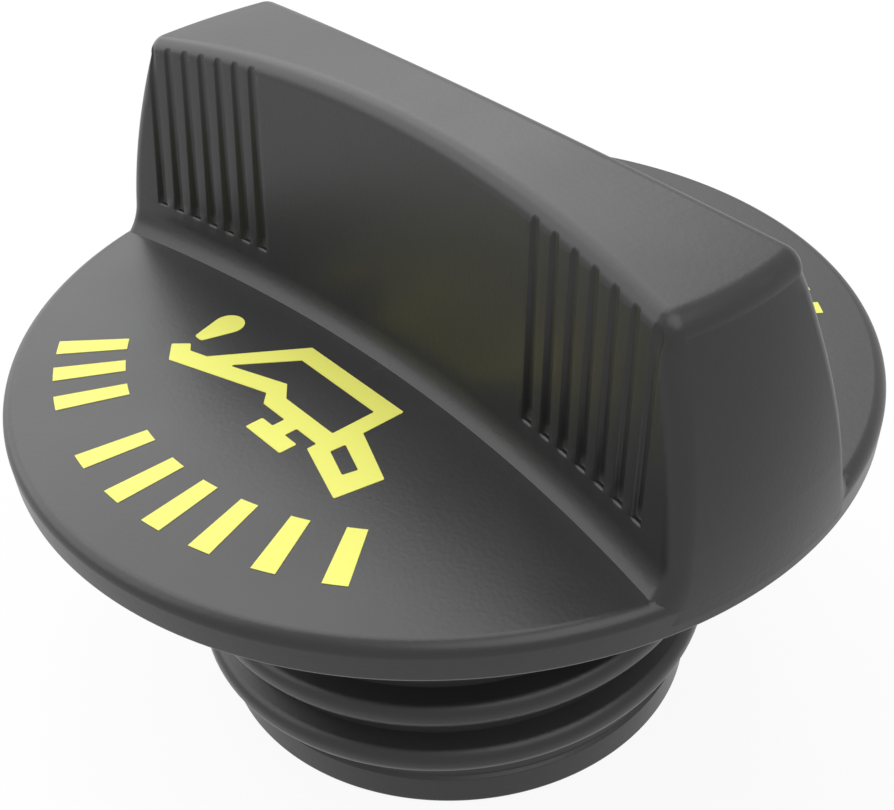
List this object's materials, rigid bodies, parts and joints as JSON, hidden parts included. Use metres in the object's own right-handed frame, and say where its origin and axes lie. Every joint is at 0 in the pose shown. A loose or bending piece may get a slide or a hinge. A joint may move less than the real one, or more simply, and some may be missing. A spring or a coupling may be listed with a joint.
{
  "type": "oil filler cap",
  "caption": "Screw-in oil filler cap with a waisted finger grip across a round flange, a hollow neck with a coarse thread, and a rubber sealing ring.",
  "frame": {"origin": "middle of the neck's end face, on which the cap stands", "axes": "+Z along the neck's axis from the neck to the grip, +X along the grip"},
  "size_m": [0.066, 0.066, 0.05],
  "materials": {
    "cap_plastic": "satin, fine moulded grain",
    "seal_rubber": "matte"
  },
  "bodies": {
    "root": {"cap_body": "cap_plastic", "o_ring": "seal_rubber"}
  },
  "joints": []
}
